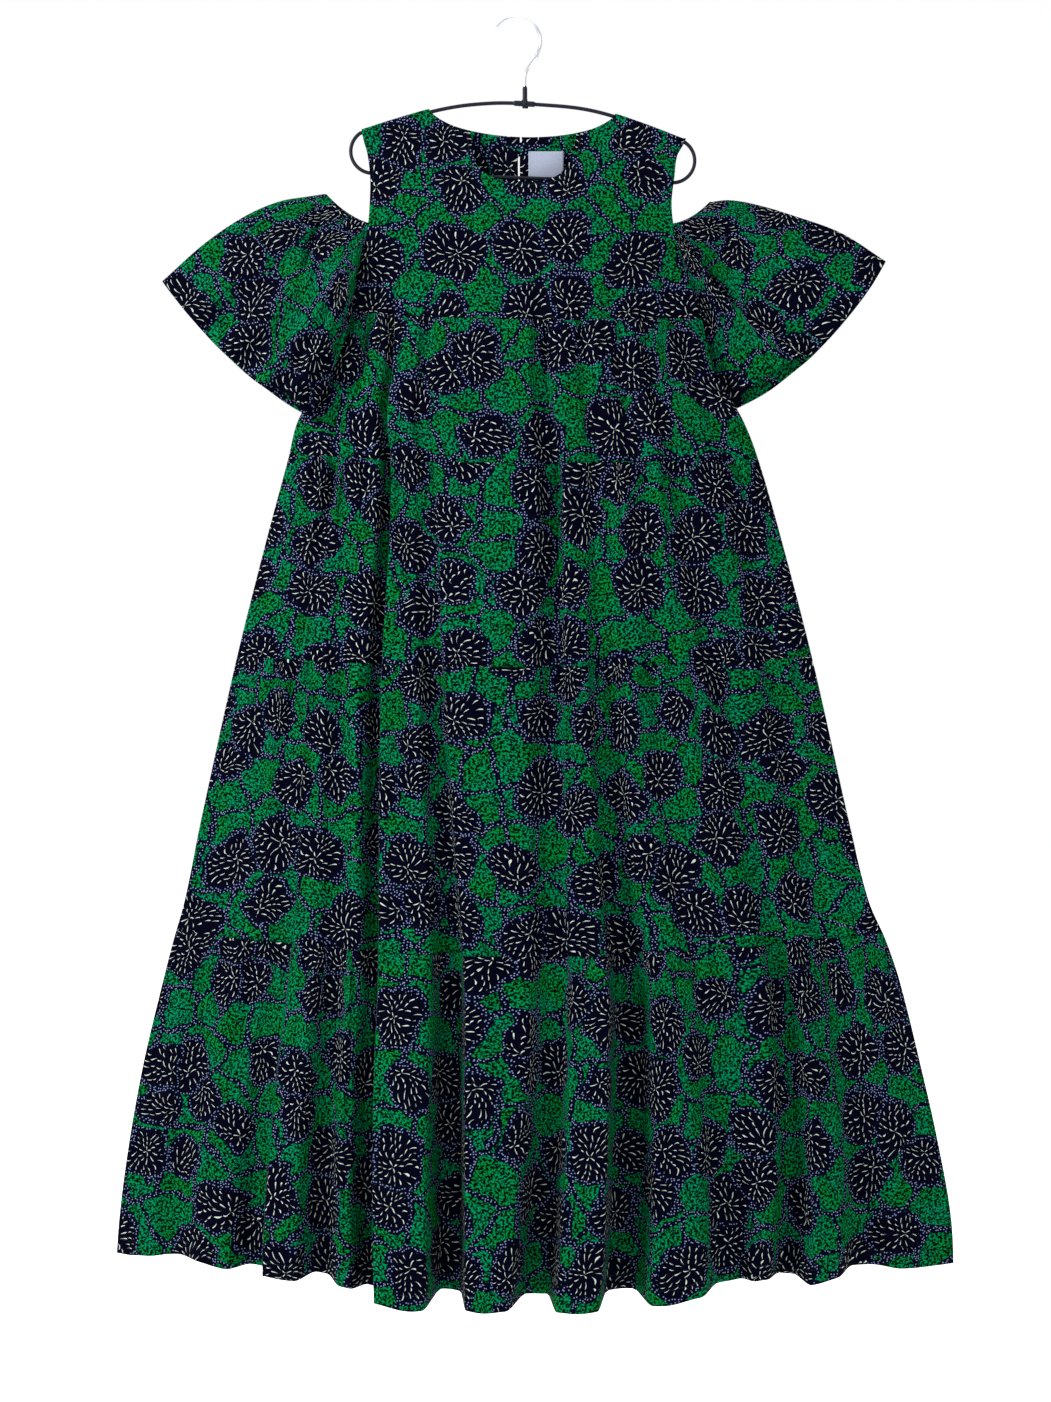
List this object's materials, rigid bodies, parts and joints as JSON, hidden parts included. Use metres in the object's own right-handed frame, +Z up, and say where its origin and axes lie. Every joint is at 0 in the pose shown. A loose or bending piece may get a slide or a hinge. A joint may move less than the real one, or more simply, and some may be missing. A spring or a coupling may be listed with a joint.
{
  "type": "tiered dress on a wire hanger",
  "caption": "Long round-neck dress with bare shoulders, flared sleeves and gathered tiers in printed cotton, hung on a thin coated wire hanger with a chrome hook.",
  "frame": {"origin": "the inside top of the hook, where the hanger rests on what holds it", "axes": "+Z up, +X to the right as one looks at the front, -Y the front of the dress"},
  "size_m": [0.9692, 0.2081, 1.4667],
  "materials": {
    "printed_cotton": "plain-woven cotton printed in green, navy and cream, matt",
    "label": "pale woven satin, bare",
    "coated_wire": "dark soft coating on steel wire",
    "chrome_wire": "bright plated wire"
  },
  "bodies": {
    "root": {"bodice_front": "printed_cotton", "bodice_back": "printed_cotton", "tier_1_front": "printed_cotton", "tier_1_back": "printed_cotton", "tier_2_front": "printed_cotton", "tier_2_back": "printed_cotton", "tier_3_front": "printed_cotton", "tier_3_back": "printed_cotton", "tier_4_front": "printed_cotton", "tier_4_back": "printed_cotton", "sleeve_left": "printed_cotton", "sleeve_right": "printed_cotton", "neck_label": "label", "hanger_body": "coated_wire", "hanger_joint": "coated_wire", "hanger_hook": "chrome_wire"}
  },
  "joints": []
}
